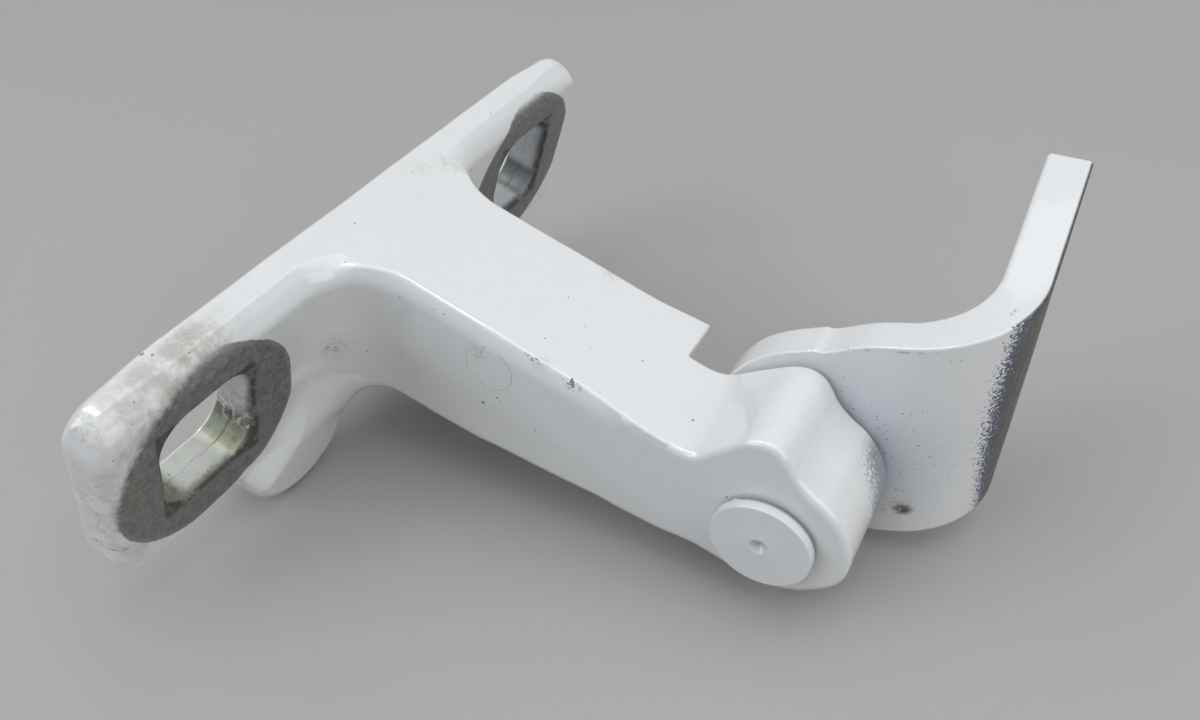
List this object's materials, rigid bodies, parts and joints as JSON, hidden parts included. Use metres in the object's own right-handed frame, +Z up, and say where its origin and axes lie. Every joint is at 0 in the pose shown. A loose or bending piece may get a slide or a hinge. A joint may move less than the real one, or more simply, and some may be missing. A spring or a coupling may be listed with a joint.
{
  "type": "friction pivot hinge",
  "caption": "Forged T-shaped hinge arm with a wide bolt-on foot, a riveted pivot pin, and a bent plate leaf that turns on the pin and stays where it is put by friction.",
  "frame": {"origin": "centre of the foot's flat mounting face, midway between its two bolt holes", "axes": "+X is the outward normal of the leaf's mounting face at rest, +Y runs along the pivot pin from its head to its riveted tail, +Z is up as the hinge lies on a bench on its two toes and the leaf's round end; the foot's mounting face looks back along -X, tilted 18.4 degrees"},
  "size_m": [0.0901, 0.0936, 0.0414],
  "materials": {
    "arm_paint": "glossy white body paint over a forging, chipped on the edges, washer prints rubbed through round the holes",
    "leaf_paint": "glossy white body paint on bent plate, outer mounting face left dark and bare",
    "pin_paint": "steel pin, head painted over with the arm",
    "friction_lining": "dark moulded composite",
    "spring_steel": "blued spring steel",
    "zinc_steel": "zinc-plated steel",
    "bush_bronze": "sintered bronze"
  },
  "bodies": {
    "arm": {"hinge_arm": "arm_paint", "pivot_pin": "pin_paint", "inner_friction_washer": "friction_lining", "outer_friction_washer": "friction_lining", "disc_spring": "spring_steel", "backing_washer": "zinc_steel"},
    "leaf": {"hinge_leaf": "leaf_paint", "leaf_bush": "bush_bronze"}
  },
  "joints": [
    {"name": "leaf_swing", "type": "hinge", "parent": "arm", "child": "leaf", "pos_m": [0.06294, 0.0067, -0.01166], "axis": [0, 1, 0], "range_deg": [-66, 144]}
  ]
}
